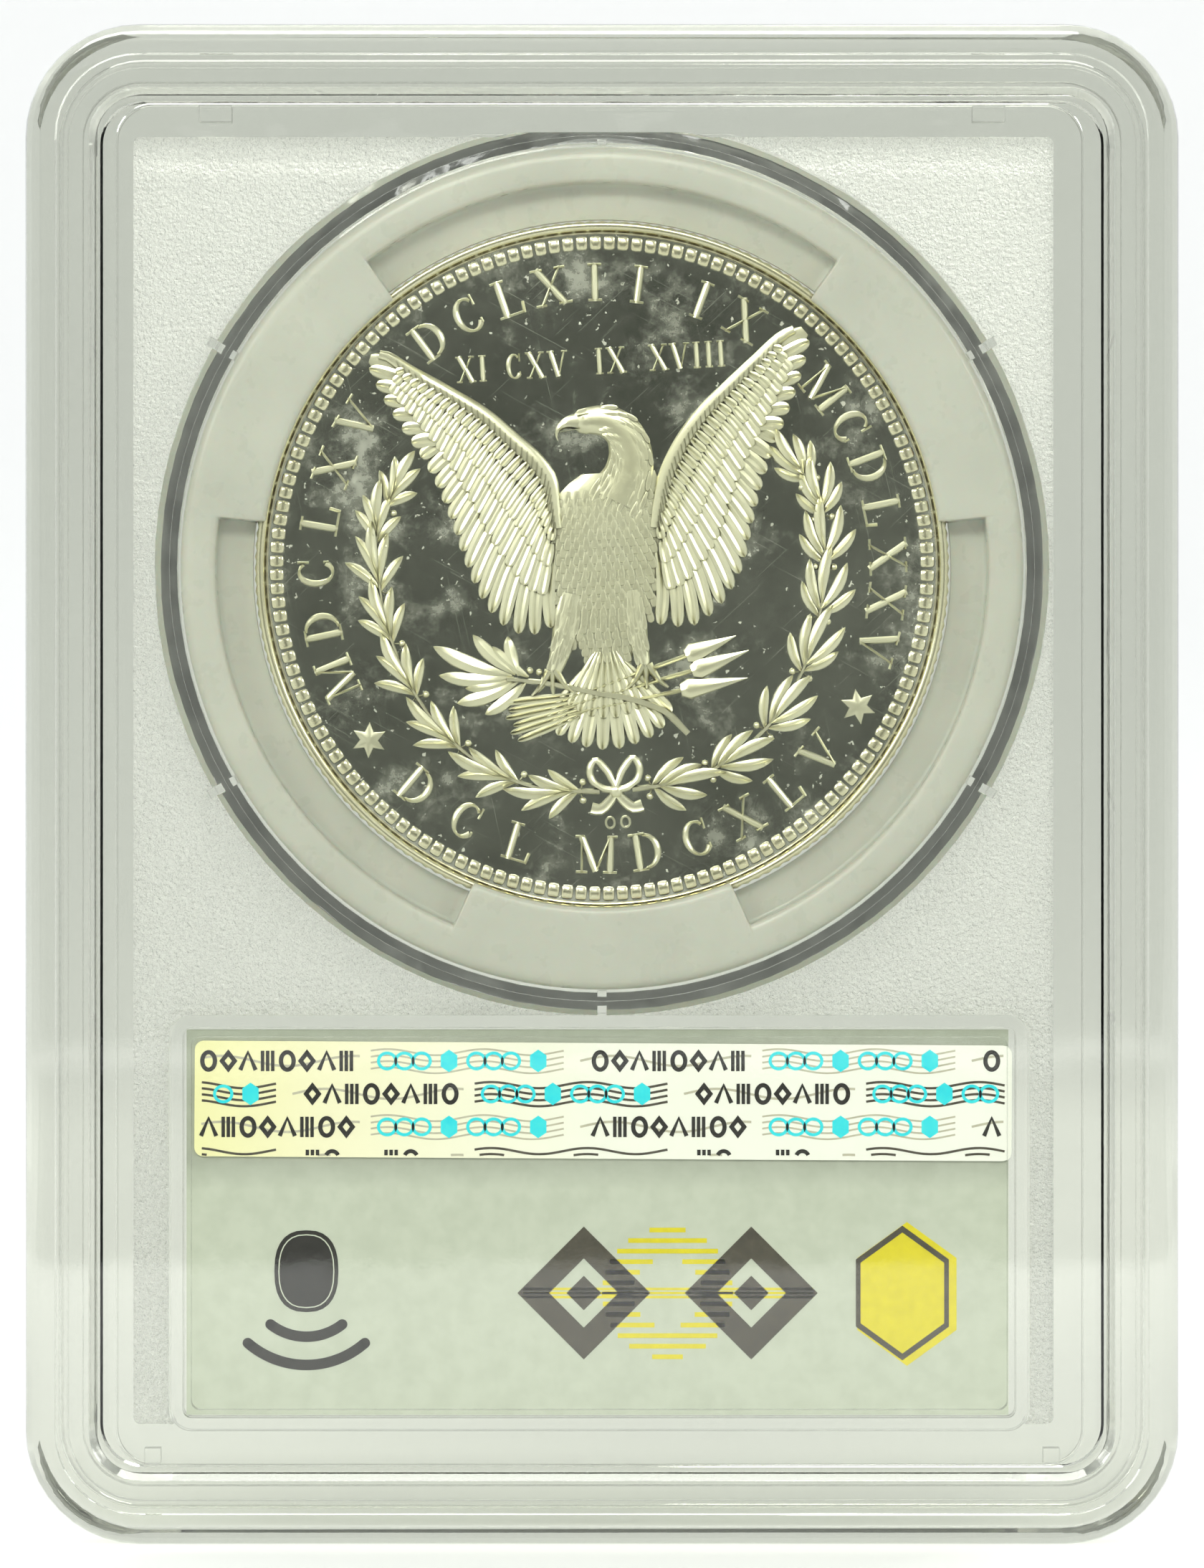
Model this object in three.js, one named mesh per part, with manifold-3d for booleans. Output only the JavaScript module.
// A graded coin slab: a sealed clear case that holds one coin in a ring and a label in a pocket.
// Millimetres. X is across the case, Y is through it (the back face looks to -Y), Z is up.
// The case stands on its label end, centred on X and Y, with its lowest edge at Z = 0.
import * as THREE from "three";
import { mergeVertices } from "three/addons/utils/BufferGeometryUtils.js";
import Module from "manifold-3d";

const wasm = await Module();
wasm.setup();

// Case, outside
const CASE_WIDTH = 63;
const CASE_DEPTH = 8;
const CORNER_RADIUS = 6.2;
const EDGE_RADIUS = 0.8;
const SEAM_GAP = 0.2;

// Stacking ridge on the back rim, and the channel for it on the front rim
const RIDGE_HEIGHT = 0.4;
const RIDGE_INSET = 1.65;
const RIDGE_DRAFT = 0.15;
const STACK_CLEARANCE = 0.15;
const CHANNEL_DEPTH = 0.45;

// Windows
const RIM_WIDTH = 3.55;
const RECESS_DRAFT = 0.4;
const WINDOW_RECESS = 0.8;

// Frame inside the rim: a wall up to the seam, then a lower ledge around the hollow
const FRAME_LEFT = 4.85;
const FRAME_RIGHT = 5.1;
const FRAME_TOP = 4.2;
const FRAME_BOTTOM = 4.1;
const FRAME_RADIUS = 2;
const LEDGE_LEFT = 1.0;
const LEDGE_RIGHT = 1.7;
const LEDGE_TOP = 1.9;
const LEDGE_BOTTOM = 2.4;
const LEDGE_RADIUS = 0.4;
const LEDGE_DROP = 0.8;

// Weld tongue on the back shell, and its groove in the front shell
const TONGUE_INSET = 2.2;
const TONGUE_WIDTH = 0.8;
const TONGUE_HEIGHT = 1.0;
const TONGUE_CLEARANCE = 0.3;

// Locating tabs on the back shell
const TAB_HEIGHT = 1.1;
const TAB_CLEARANCE = 0.15;
const TAB_DEPTH = 0.85;
const TOP_TAB_WIDTH = 1.8;
const TOP_TAB_INSET = 9.4;
const BOTTOM_TAB_WIDTH = 0.9;
const BOTTOM_TAB_INSET = 6.4;

// Coin, with its axis along Y
const COIN_RADIUS = 19.05;
const COIN_THICKNESS = 2.4;
const COIN_RIM_WIDTH = 0.55;
const COIN_FIELD_DROP = 0.28;
const COIN_EDGE_BREAK = 0.06;
const COIN_TURN = 3.6;

// Ring that centres the coin
const RING_SLOT = 2.1;
const RING_WALL = 1.95;
const RING_FACE_GAP = 0.15;
const RING_EDGE_ROUND = 0.6;
const WEB_THICKNESS = 0.6;
const PRONG_COUNT = 3;
const PRONG_SPAN = 44;
const PRONG_FIRST = 60;
const PRONG_CLEARANCE = 0.12;
const LIP_OVERLAP = 0.45;
const LIP_THICKNESS = 0.38;

// Well wall on the back shell, and the collar on the front shell
const WELL_CLEARANCE = 0.15;
const WELL_TOP_MARGIN = 6.42;
const WELL_LABEL_GAP = 2.08;
const WELL_WALL = 1.0;
const WELL_DRAFT = 0.25;
const COLLAR_GAP = 0.2;
const COLLAR_WALL = 0.45;
const WELL_TRIM_TOP = 5.8;
const RIB_COUNT = 6;
const RIB_WIDTH = 0.5;
const RIB_INSIDE = 0.1;
const RIB_OUTSIDE = 0.6;
const RIB_DROP = 0.25;

// Label pocket
const LABEL_WIDTH = 45.1;
const LABEL_HEIGHT = 21.1;
const LABEL_THICKNESS = 0.2;
const LABEL_BOTTOM = 6.9;
const LABEL_SHIFT = -0.1;
const POCKET_CENTRE_X = -0.15;
const POCKET_CLEARANCE_X = 0.3;
const POCKET_CLEARANCE_Z = 0.15;
const POCKET_WALL = 0.7;
const POCKET_RADIUS = 0.5;
const SEAT_WIDTH = 0.5;
const SEAT_CLEARANCE = 0.3;

// Hologram strip on the back of the label
const STRIP_SHORTER = 0.25;
const STRIP_HEIGHT = 6.35;
const STRIP_THICKNESS = 0.1;
const STRIP_RADIUS = 0.5;
const STRIP_TOP_MARGIN = 0.72;
const STRIP_SHIFT = 0.3;
const STRIP_TILT = 0.35;

// Contactless inlay between the two label leaves
const LAYER_GAP = 0.05;
const FILM_MARGIN_X = 3.55;
const FILM_MARGIN_Z = 2.05;
const FILM_THICKNESS = 0.1;
const FILM_RADIUS = 1;
const FILM_BORDER = 1;
const TRACE_TURNS = 5;
const TRACE_WIDTH = 0.45;
const TRACE_PITCH = 0.9;
const TRACE_THICKNESS = 0.06;
const PAD_SIZE = 1.4;
const BRIDGE_WIDTH = 0.8;
const CHIP_WIDTH = 1.2;
const CHIP_HEIGHT = 0.9;
const CHIP_THICKNESS = 0.12;

// Smoothness
const CORNER_STEPS = 5;
const ROUND_STEPS = 48;
const EDGE_STEPS = 3;

// Planes through the case
const FRONT_FACE = CASE_DEPTH / 2;
const BACK_FACE = -CASE_DEPTH / 2;
const BACK_BAND = BACK_FACE + RIDGE_HEIGHT;
const WINDOW_FACE = FRONT_FACE - WINDOW_RECESS;
const SEAM = SEAM_GAP / 2;
const LEDGE_FACE = SEAM + LEDGE_DROP;

// The ring grows with the coin, the well with the ring, and the case's height with well and label
const COIN_HALF = COIN_THICKNESS / 2;
const RING_BODY_INNER = COIN_RADIUS + RING_SLOT;
const RING_RADIUS = RING_BODY_INNER + RING_WALL;
const RING_FACE = COIN_HALF + PRONG_CLEARANCE + LIP_THICKNESS;
const PANEL_INNER = RING_FACE + RING_FACE_GAP;
const WELL_RADIUS = RING_RADIUS + WELL_CLEARANCE;
const COLLAR_RADIUS = WELL_RADIUS + WELL_WALL + COLLAR_GAP;
const COIN_Z = LABEL_BOTTOM + LABEL_HEIGHT + WELL_LABEL_GAP + WELL_RADIUS;
const CASE_HEIGHT = COIN_Z + WELL_RADIUS + WELL_TOP_MARGIN;

// The strip and the inlay are made for the label
const STRIP_WIDTH = LABEL_WIDTH - STRIP_SHORTER;
const FILM_WIDTH = LABEL_WIDTH - 2 * FILM_MARGIN_X;
const FILM_HEIGHT = LABEL_HEIGHT - 2 * FILM_MARGIN_Z;
const STRIP_FACE = FILM_THICKNESS / 2 + TRACE_THICKNESS + LABEL_THICKNESS + STRIP_THICKNESS + 3 * LAYER_GAP;

const radians = THREE.MathUtils.degToRad;

// A rectangle with round corners, drawn in X and Z.
function roundedRect(left, right, bottom, top, radius) {
  const shape = new THREE.Shape();
  const r = Math.min(radius, (right - left) / 2 - 0.01, (top - bottom) / 2 - 0.01);
  shape.moveTo(left + r, bottom);
  shape.lineTo(right - r, bottom);
  shape.absarc(right - r, bottom + r, r, -Math.PI / 2, 0, false);
  shape.lineTo(right, top - r);
  shape.absarc(right - r, top - r, r, 0, Math.PI / 2, false);
  shape.lineTo(left + r, top);
  shape.absarc(left + r, top - r, r, Math.PI / 2, Math.PI, false);
  shape.lineTo(left, bottom + r);
  shape.absarc(left + r, bottom + r, r, Math.PI, 1.5 * Math.PI, false);
  return shape;
}

// The outline of the case, moved in by an even inset.
function caseOutline(inset) {
  const half = CASE_WIDTH / 2 - inset;
  const radius = Math.max(CORNER_RADIUS - inset, 0.6);
  return roundedRect(-half, half, inset, CASE_HEIGHT - inset, radius);
}

// The outline of the frame's opening, moved in by the share of the ledge that is given.
function frameOutline(share, radius) {
  const left = -CASE_WIDTH / 2 + FRAME_LEFT + share * LEDGE_LEFT;
  const right = CASE_WIDTH / 2 - FRAME_RIGHT - share * LEDGE_RIGHT;
  const bottom = FRAME_BOTTOM + share * LEDGE_BOTTOM;
  const top = CASE_HEIGHT - FRAME_TOP - share * LEDGE_TOP;
  return roundedRect(left, right, bottom, top, radius);
}

// The outline of the label pocket, moved out by the given amount.
function pocketOutline(grow, radius) {
  const half = LABEL_WIDTH / 2 + POCKET_CLEARANCE_X + grow;
  const bottom = LABEL_BOTTOM - POCKET_CLEARANCE_Z - grow;
  const top = LABEL_BOTTOM + LABEL_HEIGHT + POCKET_CLEARANCE_Z + grow;
  return roundedRect(POCKET_CENTRE_X - half, POCKET_CENTRE_X + half, bottom, top, radius);
}

// A closed geometry as a solid for the booleans.
function solid(geometry) {
  const bare = new THREE.BufferGeometry();
  const source = geometry.index ? geometry.toNonIndexed() : geometry;
  bare.setAttribute("position", source.getAttribute("position"));
  const merged = mergeVertices(bare, 1e-4);
  return new wasm.Manifold(
    new wasm.Mesh({
      numProp: 3,
      vertProperties: new Float32Array(merged.attributes.position.array),
      triVerts: new Uint32Array(merged.index.array),
    }),
  );
}

// A plate with the given outline between two planes across Y.
// With a bevel, the sides lean out by bevelSize over bevelThickness from both planes.
function plate(shape, low, high, bevelSize = 0, bevelThickness = 0, bevelSegments = 1) {
  const geometry = new THREE.ExtrudeGeometry(shape, {
    depth: high - low - 2 * bevelThickness,
    curveSegments: CORNER_STEPS,
    bevelEnabled: bevelSize > 0,
    bevelSize,
    bevelThickness,
    bevelSegments,
  });
  geometry.rotateX(Math.PI / 2);
  geometry.translate(0, high - bevelThickness, 0);
  return solid(geometry);
}

// A ring plate between two outlines.
function ringPlate(outer, inner, low, high) {
  return plate(outer, low, high).subtract(plate(inner, low - 1, high + 1));
}

// A body of revolution about the coin's axis, from a closed profile of radius and Y.
function turned(profile, steps = 2 * ROUND_STEPS) {
  const points = profile.map(([radius, y]) => new THREE.Vector2(radius, y));
  const geometry = new THREE.LatheGeometry(points, steps);
  geometry.translate(0, 0, COIN_Z);
  return solid(geometry);
}

// A sector of a ring about the coin's axis, its middle turned clockwise from the top.
function sector(inner, outer, middle, span, low, high) {
  const shape = new THREE.Shape();
  const start = radians(90 - middle - span / 2);
  const end = radians(90 - middle + span / 2);
  shape.absarc(0, 0, outer, start, end, false);
  shape.absarc(0, 0, inner, end, start, true);
  const geometry = new THREE.ExtrudeGeometry(shape, {
    depth: high - low,
    curveSegments: Math.ceil((ROUND_STEPS * span) / 360) + 1,
    bevelEnabled: false,
  });
  geometry.rotateX(Math.PI / 2);
  geometry.translate(0, high, COIN_Z);
  return solid(geometry);
}

// A box between two corners.
function block(x0, x1, y0, y1, z0, z1) {
  const geometry = new THREE.BoxGeometry(x1 - x0, y1 - y0, z1 - z0);
  geometry.translate((x0 + x1) / 2, (y0 + y1) / 2, (z0 + z1) / 2);
  return solid(geometry);
}

// A radial rib across the well wall.
function rib(index, low, high) {
  const inner = WELL_RADIUS - RIB_INSIDE;
  const outer = WELL_RADIUS + WELL_WALL + RIB_OUTSIDE;
  const geometry = new THREE.BoxGeometry(RIB_WIDTH, high - low, outer - inner);
  geometry.translate(0, (low + high) / 2, (inner + outer) / 2);
  geometry.rotateY((index * 2 * Math.PI) / RIB_COUNT);
  geometry.translate(0, 0, COIN_Z);
  return solid(geometry);
}

// A named mesh from a solid or a geometry.
function piece(name, source, colour, roughness, metalness, extra = {}) {
  let geometry = source;
  if (!source.isBufferGeometry) {
    const mesh = source.getMesh();
    geometry = new THREE.BufferGeometry();
    geometry.setAttribute("position", new THREE.BufferAttribute(new Float32Array(mesh.vertProperties), 3));
    geometry.setIndex(new THREE.BufferAttribute(new Uint32Array(mesh.triVerts), 1));
    geometry.computeVertexNormals();
  }
  const material = new THREE.MeshStandardMaterial({ color: colour, roughness, metalness, ...extra });
  const made = new THREE.Mesh(geometry, material);
  made.name = name;
  return made;
}

const reach = CASE_WIDTH + CASE_HEIGHT;

// The whole case as one block, with round outer edges and the stacking ridge.
const edgeCore = caseOutline(EDGE_RADIUS);
const body = plate(edgeCore, BACK_BAND, FRONT_FACE, EDGE_RADIUS, EDGE_RADIUS, EDGE_STEPS);
const ridgeTop = caseOutline(RIDGE_INSET + RIDGE_DRAFT);
const ridge = plate(ridgeTop, BACK_FACE, BACK_FACE + 2 * RIDGE_HEIGHT + 2, RIDGE_DRAFT, RIDGE_HEIGHT);
const caseBlock = body.add(ridge);

// Back half: outside shape and its hollow.
const backHalf = block(-reach, reach, BACK_FACE - 1, -SEAM, -reach, reach);
let backShell = caseBlock.intersect(backHalf);
const backRecess = caseOutline(RIM_WIDTH + RECESS_DRAFT);
backShell = backShell.subtract(
  plate(backRecess, BACK_FACE - 3, -WINDOW_FACE, RECESS_DRAFT, WINDOW_RECESS),
);
backShell = backShell.subtract(plate(frameOutline(0, FRAME_RADIUS), -LEDGE_FACE, 1));
backShell = backShell.subtract(plate(frameOutline(1, LEDGE_RADIUS), -PANEL_INNER, 1));

// Front half: outside shape, stacking channel and its hollow.
const frontHalf = block(-reach, reach, SEAM, FRONT_FACE + 1, -reach, reach);
let frontShell = caseBlock.intersect(frontHalf);
const channelEdge = caseOutline(RIDGE_INSET + RIDGE_DRAFT - STACK_CLEARANCE);
frontShell = frontShell.subtract(
  plate(channelEdge, FRONT_FACE - CHANNEL_DEPTH, FRONT_FACE + 3, RIDGE_DRAFT, CHANNEL_DEPTH),
);
frontShell = frontShell.subtract(
  plate(backRecess, WINDOW_FACE, FRONT_FACE + 3, RECESS_DRAFT, WINDOW_RECESS),
);
frontShell = frontShell.subtract(plate(frameOutline(0, FRAME_RADIUS), -1, LEDGE_FACE));
frontShell = frontShell.subtract(plate(frameOutline(1, LEDGE_RADIUS), -1, PANEL_INNER));

// Weld tongue.
const tongueEnd = TONGUE_INSET + TONGUE_WIDTH;
backShell = backShell.add(
  ringPlate(caseOutline(TONGUE_INSET), caseOutline(tongueEnd), -SEAM - 0.2, TONGUE_HEIGHT - SEAM),
);

// Round well: the wall, with a peaked top, and its ribs on the back shell, the collar on the front shell.
const root = PANEL_INNER + 0.15;
const trimTop = CASE_HEIGHT - WELL_TRIM_TOP;
const trim = block(-reach, reach, -CASE_DEPTH, CASE_DEPTH, 0, trimTop);
let well = turned([
  [WELL_RADIUS, -root],
  [WELL_RADIUS + WELL_WALL + WELL_DRAFT, -root],
  [WELL_RADIUS + WELL_WALL, -SEAM - WELL_WALL / 2],
  [WELL_RADIUS + WELL_WALL / 2, -SEAM],
  [WELL_RADIUS, -SEAM - WELL_WALL / 2],
  [WELL_RADIUS, -root],
]);
for (let i = 0; i < RIB_COUNT; i++) {
  well = well.add(rib(i, -root, -SEAM - RIB_DROP));
}
backShell = backShell.add(well.intersect(trim));
const collar = turned([
  [COLLAR_RADIUS, SEAM],
  [COLLAR_RADIUS + COLLAR_WALL, SEAM],
  [COLLAR_RADIUS + COLLAR_WALL, root],
  [COLLAR_RADIUS, root],
  [COLLAR_RADIUS, SEAM],
]);
frontShell = frontShell.add(collar.intersect(trim));

// Label pocket on both shells: a wall, and a seat that the label rests against.
const seatFace = STRIP_FACE + SEAT_CLEARANCE;
const pocketInner = pocketOutline(0, POCKET_RADIUS);
const pocketOuter = pocketOutline(POCKET_WALL, POCKET_RADIUS + POCKET_WALL);
const seatInner = pocketOutline(-SEAT_WIDTH, POCKET_RADIUS);
const pocketHole = plate(pocketInner, -seatFace, seatFace);
backShell = backShell.subtract(pocketHole).add(ringPlate(pocketOuter, pocketInner, -root, -SEAM));
backShell = backShell.add(ringPlate(pocketOuter, seatInner, -root, -seatFace));
frontShell = frontShell.subtract(pocketHole).add(ringPlate(pocketOuter, pocketInner, SEAM, root));
frontShell = frontShell.add(ringPlate(pocketOuter, seatInner, seatFace, root));

// The bore of the well stays clear for the ring, and the groove stays clear for the weld tongue.
const bore = turned([
  [0, -PANEL_INNER],
  [WELL_RADIUS - RIB_INSIDE, -PANEL_INNER],
  [WELL_RADIUS - RIB_INSIDE, PANEL_INNER],
  [0, PANEL_INNER],
]);
backShell = backShell.subtract(bore);
frontShell = frontShell.subtract(bore);
frontShell = frontShell.subtract(
  ringPlate(
    caseOutline(TONGUE_INSET - TONGUE_CLEARANCE),
    caseOutline(tongueEnd + TONGUE_CLEARANCE),
    0,
    TONGUE_HEIGHT - SEAM + TONGUE_CLEARANCE,
  ),
);

// Locating tabs: they stand on the back ledge and fit inside the front frame.
const tabTop = TAB_HEIGHT - LEDGE_FACE;
const topTabHigh = CASE_HEIGHT - FRAME_TOP - TAB_CLEARANCE;
const bottomTabLow = FRAME_BOTTOM + TAB_CLEARANCE;
for (const side of [-1, 1]) {
  const topX = side * (CASE_WIDTH / 2 - TOP_TAB_INSET - TOP_TAB_WIDTH / 2);
  const bottomX = side * (CASE_WIDTH / 2 - BOTTOM_TAB_INSET - BOTTOM_TAB_WIDTH / 2);
  const topHalf = TOP_TAB_WIDTH / 2;
  const bottomHalf = BOTTOM_TAB_WIDTH / 2;
  const base = -LEDGE_FACE - 0.2;
  backShell = backShell.add(
    block(topX - topHalf, topX + topHalf, base, tabTop, topTabHigh - TAB_DEPTH, topTabHigh),
  );
  backShell = backShell.add(
    block(bottomX - bottomHalf, bottomX + bottomHalf, base, tabTop, bottomTabLow, bottomTabLow + TAB_DEPTH),
  );
}

// Ring: a round body with three prongs whose lips reach over the coin's rim, and a thin web between them.
const corner = [];
for (let i = 0; i <= EDGE_STEPS; i++) {
  const angle = (i / EDGE_STEPS) * (Math.PI / 2);
  const out = RING_RADIUS - RING_EDGE_ROUND + RING_EDGE_ROUND * Math.sin(angle);
  const up = RING_FACE - RING_EDGE_ROUND + RING_EDGE_ROUND * Math.cos(angle);
  corner.push([out, up]);
}
const lowCorner = corner.map(([r, y]) => [r, -y]);
const highCorner = [...corner].reverse();
let ring = turned([
  [RING_BODY_INNER, -RING_FACE],
  ...lowCorner,
  ...highCorner,
  [RING_BODY_INNER, RING_FACE],
  [RING_BODY_INNER, -RING_FACE],
]);
const webHalf = WEB_THICKNESS / 2;
ring = ring.add(
  turned([
    [COIN_RADIUS - LIP_OVERLAP, -webHalf],
    [RING_BODY_INNER + 0.4, -webHalf],
    [RING_BODY_INNER + 0.4, webHalf],
    [COIN_RADIUS - LIP_OVERLAP, webHalf],
    [COIN_RADIUS - LIP_OVERLAP, -webHalf],
  ]),
);
const lipRadius = COIN_RADIUS - LIP_OVERLAP;
for (let i = 0; i < PRONG_COUNT; i++) {
  const middle = PRONG_FIRST + (i * 360) / PRONG_COUNT;
  const overlap = RING_BODY_INNER + 0.4;
  ring = ring.add(sector(lipRadius, overlap, middle, PRONG_SPAN, -RING_FACE, RING_FACE));
}
const seatHalf = COIN_HALF + PRONG_CLEARANCE;
ring = ring.subtract(
  turned([
    [0, -seatHalf],
    [COIN_RADIUS + PRONG_CLEARANCE, -seatHalf],
    [COIN_RADIUS + PRONG_CLEARANCE, seatHalf],
    [0, seatHalf],
  ]),
);

// Coin: a disc with a raised rim on both faces.
const field = COIN_HALF - COIN_FIELD_DROP;
const rimInner = COIN_RADIUS - COIN_RIM_WIDTH;
const coinProfile = [
  [0, -field],
  [rimInner - COIN_FIELD_DROP / 2, -field],
  [rimInner, -COIN_HALF],
  [COIN_RADIUS - COIN_EDGE_BREAK, -COIN_HALF],
  [COIN_RADIUS, -COIN_HALF + COIN_EDGE_BREAK],
  [COIN_RADIUS, COIN_HALF - COIN_EDGE_BREAK],
  [COIN_RADIUS - COIN_EDGE_BREAK, COIN_HALF],
  [rimInner, COIN_HALF],
  [rimInner - COIN_FIELD_DROP / 2, field],
  [0, field],
];
const coinGeometry = new THREE.LatheGeometry(
  coinProfile.map(([radius, y]) => new THREE.Vector2(radius, y)),
  2 * ROUND_STEPS,
);

// Label stack, counted from the film in the middle of the case.
const labelX = POCKET_CENTRE_X + LABEL_SHIFT;
const labelZ = LABEL_BOTTOM + LABEL_HEIGHT / 2;
const bridgeY = -(FILM_THICKNESS + TRACE_THICKNESS) / 2 - LAYER_GAP;
const labelBackY = bridgeY - (TRACE_THICKNESS + LABEL_THICKNESS) / 2 - LAYER_GAP;
const stripY = labelBackY - (LABEL_THICKNESS + STRIP_THICKNESS) / 2 - LAYER_GAP;
const traceY = -bridgeY;
const chipY = traceY + (TRACE_THICKNESS + CHIP_THICKNESS) / 2 + LAYER_GAP;
const labelFrontY = chipY + (CHIP_THICKNESS + LABEL_THICKNESS) / 2 + LAYER_GAP;

// A flat plate about its own centre, thin along Y.
function sheet(width, height, thickness, radius) {
  const shape = roundedRect(-width / 2, width / 2, -height / 2, height / 2, radius);
  const geometry = new THREE.ExtrudeGeometry(shape, {
    depth: thickness,
    curveSegments: CORNER_STEPS,
    bevelEnabled: false,
  });
  geometry.rotateX(Math.PI / 2);
  geometry.translate(0, thickness / 2, 0);
  return geometry;
}

// The antenna: one flat trace that winds inward from the chip and ends in a square pad.
const coilWidth = FILM_WIDTH - 2 * FILM_BORDER;
const coilHeight = FILM_HEIGHT - 2 * FILM_BORDER;
const chipX = -coilWidth / 4;
const chipZ = -coilHeight / 2;
const innerInset = TRACE_TURNS * TRACE_PITCH;

// The trace's centre line, turn by turn, with square corners.
function coilPath() {
  const path = [new THREE.Vector2(chipX + CHIP_WIDTH / 2, chipZ)];
  for (let turn = 0; turn < TRACE_TURNS; turn++) {
    const x = coilWidth / 2 - turn * TRACE_PITCH;
    const z = coilHeight / 2 - turn * TRACE_PITCH;
    path.push(new THREE.Vector2(x, -z));
    path.push(new THREE.Vector2(x, z));
    path.push(new THREE.Vector2(-x, z));
    path.push(new THREE.Vector2(-x, -z + TRACE_PITCH));
  }
  path.push(new THREE.Vector2(chipX - PAD_SIZE / 2, -coilHeight / 2 + innerInset));
  return path;
}

// One edge of the trace: the centre line moved sideways, mitred at each corner.
function traceEdge(path, offset) {
  const edge = [];
  for (let i = 0; i < path.length; i++) {
    const into = path[Math.max(i, 1)].clone().sub(path[Math.max(i, 1) - 1]).normalize();
    const next = Math.min(i + 1, path.length - 1);
    const away = path[next].clone().sub(path[next - 1]).normalize();
    const shift = new THREE.Vector2(-into.y, into.x);
    if (into.dot(away) < 0.5) {
      shift.add(new THREE.Vector2(-away.y, away.x));
    }
    edge.push(path[i].clone().addScaledVector(shift, offset));
  }
  return edge;
}

const coilCentre = coilPath();
const outerEdge = traceEdge(coilCentre, -TRACE_WIDTH / 2);
const innerEdge = traceEdge(coilCentre, TRACE_WIDTH / 2);
const padLow = outerEdge[outerEdge.length - 1].y;
const padCorners = [
  new THREE.Vector2(chipX + PAD_SIZE / 2, padLow),
  new THREE.Vector2(chipX + PAD_SIZE / 2, padLow + PAD_SIZE),
  new THREE.Vector2(chipX - PAD_SIZE / 2, padLow + PAD_SIZE),
];
const coilShape = new THREE.Shape([...outerEdge, ...padCorners, ...innerEdge.reverse()]);
const coil = new THREE.ExtrudeGeometry(coilShape, { depth: TRACE_THICKNESS, bevelEnabled: false });
coil.rotateX(Math.PI / 2);
coil.translate(0, TRACE_THICKNESS / 2, 0);

const bridgeHeight = innerInset + PAD_SIZE;
const bridgeZ = -coilHeight / 2 + bridgeHeight / 2;

const group = new THREE.Group();
group.name = "graded_coin_slab";

const clear = { transparent: true, opacity: 0.35 };
group.add(piece("back_shell", backShell, 0xc8cdc0, 0.12, 0, clear));
group.add(piece("front_shell", frontShell, 0xc8cdc0, 0.12, 0, clear));
group.add(piece("coin_ring", ring, 0xc6c9b6, 0.4, 0, { transparent: true, opacity: 0.85 }));

const coin = piece("coin", coinGeometry, 0xd6d6b0, 0.25, 1);
coin.position.z = COIN_Z;
coin.rotation.y = radians(-COIN_TURN);
group.add(coin);

const insert = new THREE.Group();
insert.name = "label_insert";
insert.position.set(labelX, 0, labelZ);
group.add(insert);

const labelBack = piece(
  "label_back_leaf",
  new THREE.BoxGeometry(LABEL_WIDTH, LABEL_THICKNESS, LABEL_HEIGHT),
  0xc6cdbc,
  0.8,
  0,
);
labelBack.position.y = labelBackY;
insert.add(labelBack);

const labelFront = piece(
  "label_front_leaf",
  new THREE.BoxGeometry(LABEL_WIDTH, LABEL_THICKNESS, LABEL_HEIGHT),
  0xc6cdbc,
  0.8,
  0,
);
labelFront.position.y = labelFrontY;
insert.add(labelFront);

const strip = piece(
  "hologram_strip",
  sheet(STRIP_WIDTH, STRIP_HEIGHT, STRIP_THICKNESS, STRIP_RADIUS),
  0xe8e8dc,
  0.3,
  0.3,
);
strip.position.set(STRIP_SHIFT, stripY, LABEL_HEIGHT / 2 - STRIP_TOP_MARGIN - STRIP_HEIGHT / 2);
strip.rotation.y = radians(STRIP_TILT);
insert.add(strip);

insert.add(piece("nfc_film", sheet(FILM_WIDTH, FILM_HEIGHT, FILM_THICKNESS, FILM_RADIUS), 0xe2e6e2, 0.3, 0));

const antenna = piece("nfc_antenna", coil, 0xb9bcbf, 0.3, 1);
antenna.position.y = traceY;
insert.add(antenna);

const bridge = piece(
  "nfc_bridge",
  new THREE.BoxGeometry(BRIDGE_WIDTH, TRACE_THICKNESS, bridgeHeight),
  0xb9bcbf,
  0.3,
  1,
);
bridge.position.set(chipX, bridgeY, bridgeZ);
insert.add(bridge);

const chip = piece(
  "nfc_chip",
  new THREE.BoxGeometry(CHIP_WIDTH, CHIP_THICKNESS, CHIP_HEIGHT),
  0x24262a,
  0.4,
  0,
);
chip.position.set(chipX, chipY, chipZ);
insert.add(chip);

export default group;
